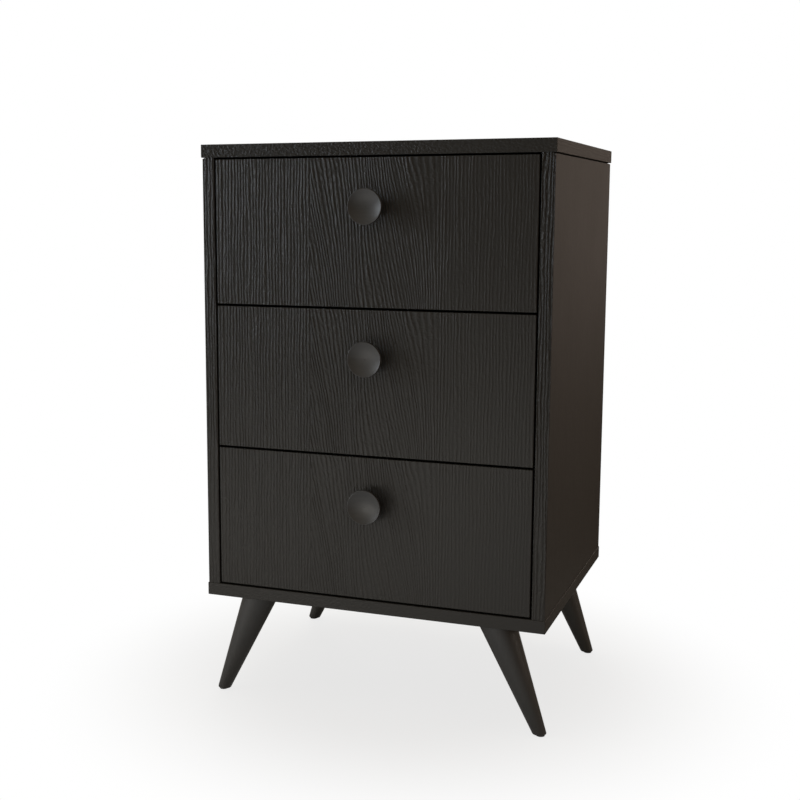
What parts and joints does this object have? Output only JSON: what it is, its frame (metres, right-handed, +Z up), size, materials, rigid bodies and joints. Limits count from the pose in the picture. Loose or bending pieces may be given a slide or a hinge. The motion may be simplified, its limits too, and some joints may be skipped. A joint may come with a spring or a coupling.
{
  "type": "nightstand with drawers",
  "caption": "Black woodgrain nightstand with inset drawers on ball-bearing runners, round dished knobs and splayed tapered legs.",
  "frame": {"origin": "on the floor below the middle of the overall box, knobs included", "axes": "+Z up, -Y towards the viewer of the drawer fronts, +X to that viewer's right"},
  "size_m": [0.5, 0.43, 0.8],
  "materials": {
    "black_woodgrain": "embossed woodgrain melamine, satin",
    "black_melamine": "smooth melamine, satin",
    "black_hardboard": "lacquered hardboard, matt",
    "black_lacquer": "satin lacquer",
    "zinc_fittings": "die-cast zinc",
    "steel_fasteners": "zinc plated",
    "beech_dowels": "bare beech",
    "nylon_glides": "moulded nylon",
    "runner_steel": "zinc plated sheet",
    "cage_steel": "plated sheet and polished balls"
  },
  "bodies": {
    "cabinet": {"top_panel": "black_woodgrain", "bottom_panel": "black_woodgrain", "left_side_panel": "black_woodgrain", "right_side_panel": "black_woodgrain", "back_panel": "black_hardboard", "carcass_cam_locks": "zinc_fittings", "carcass_cam_bolts": "steel_fasteners", "leg_screws": "steel_fasteners", "channel_screws": "steel_fasteners", "carcass_dowels": "beech_dowels", "front_left_leg": "black_lacquer", "front_right_leg": "black_lacquer", "rear_left_leg": "black_lacquer", "rear_right_leg": "black_lacquer", "foot_glides": "nylon_glides", "bottom_left_channel": "runner_steel", "bottom_right_channel": "runner_steel", "middle_left_channel": "runner_steel", "middle_right_channel": "runner_steel", "top_left_channel": "runner_steel", "top_right_channel": "runner_steel"},
    "bottom_drawer": {"bottom_drawer_front": "black_woodgrain", "bottom_drawer_left_side": "black_melamine", "bottom_drawer_right_side": "black_melamine", "bottom_drawer_back": "black_melamine", "bottom_drawer_bottom": "black_hardboard", "bottom_drawer_left_rail": "runner_steel", "bottom_drawer_right_rail": "runner_steel", "bottom_drawer_knob": "black_lacquer", "bottom_drawer_cam_locks": "zinc_fittings", "bottom_drawer_cam_bolts": "steel_fasteners", "bottom_drawer_rail_screws": "steel_fasteners", "bottom_drawer_knob_screw": "steel_fasteners"},
    "bottom_cages": {"bottom_ball_cages": "cage_steel"},
    "middle_drawer": {"middle_drawer_front": "black_woodgrain", "middle_drawer_left_side": "black_melamine", "middle_drawer_right_side": "black_melamine", "middle_drawer_back": "black_melamine", "middle_drawer_bottom": "black_hardboard", "middle_drawer_left_rail": "runner_steel", "middle_drawer_right_rail": "runner_steel", "middle_drawer_knob": "black_lacquer", "middle_drawer_cam_locks": "zinc_fittings", "middle_drawer_cam_bolts": "steel_fasteners", "middle_drawer_rail_screws": "steel_fasteners", "middle_drawer_knob_screw": "steel_fasteners"},
    "middle_cages": {"middle_ball_cages": "cage_steel"},
    "top_drawer": {"top_drawer_front": "black_woodgrain", "top_drawer_left_side": "black_melamine", "top_drawer_right_side": "black_melamine", "top_drawer_back": "black_melamine", "top_drawer_bottom": "black_hardboard", "top_drawer_left_rail": "runner_steel", "top_drawer_right_rail": "runner_steel", "top_drawer_knob": "black_lacquer", "top_drawer_cam_locks": "zinc_fittings", "top_drawer_cam_bolts": "steel_fasteners", "top_drawer_rail_screws": "steel_fasteners", "top_drawer_knob_screw": "steel_fasteners"},
    "top_cages": {"top_ball_cages": "cage_steel"}
  },
  "joints": [
    {"name": "bottom_drawer_slide", "type": "slide", "parent": "cabinet", "child": "bottom_drawer", "axis": [0, -1, 0], "range_m": [0, 0.25]},
    {"name": "bottom_cages_slide", "type": "slide", "parent": "cabinet", "child": "bottom_cages", "axis": [0, -1, 0], "range_m": [0, 0.125]},
    {"name": "middle_drawer_slide", "type": "slide", "parent": "cabinet", "child": "middle_drawer", "axis": [0, -1, 0], "range_m": [0, 0.25]},
    {"name": "middle_cages_slide", "type": "slide", "parent": "cabinet", "child": "middle_cages", "axis": [0, -1, 0], "range_m": [0, 0.125]},
    {"name": "top_drawer_slide", "type": "slide", "parent": "cabinet", "child": "top_drawer", "axis": [0, -1, 0], "range_m": [0, 0.25]},
    {"name": "top_cages_slide", "type": "slide", "parent": "cabinet", "child": "top_cages", "axis": [0, -1, 0], "range_m": [0, 0.125]}
  ],
  "couplings": [
    {"joint": "bottom_cages_slide", "follows": "bottom_drawer_slide", "ratio": 0.5},
    {"joint": "middle_cages_slide", "follows": "middle_drawer_slide", "ratio": 0.5},
    {"joint": "top_cages_slide", "follows": "top_drawer_slide", "ratio": 0.5}
  ]
}
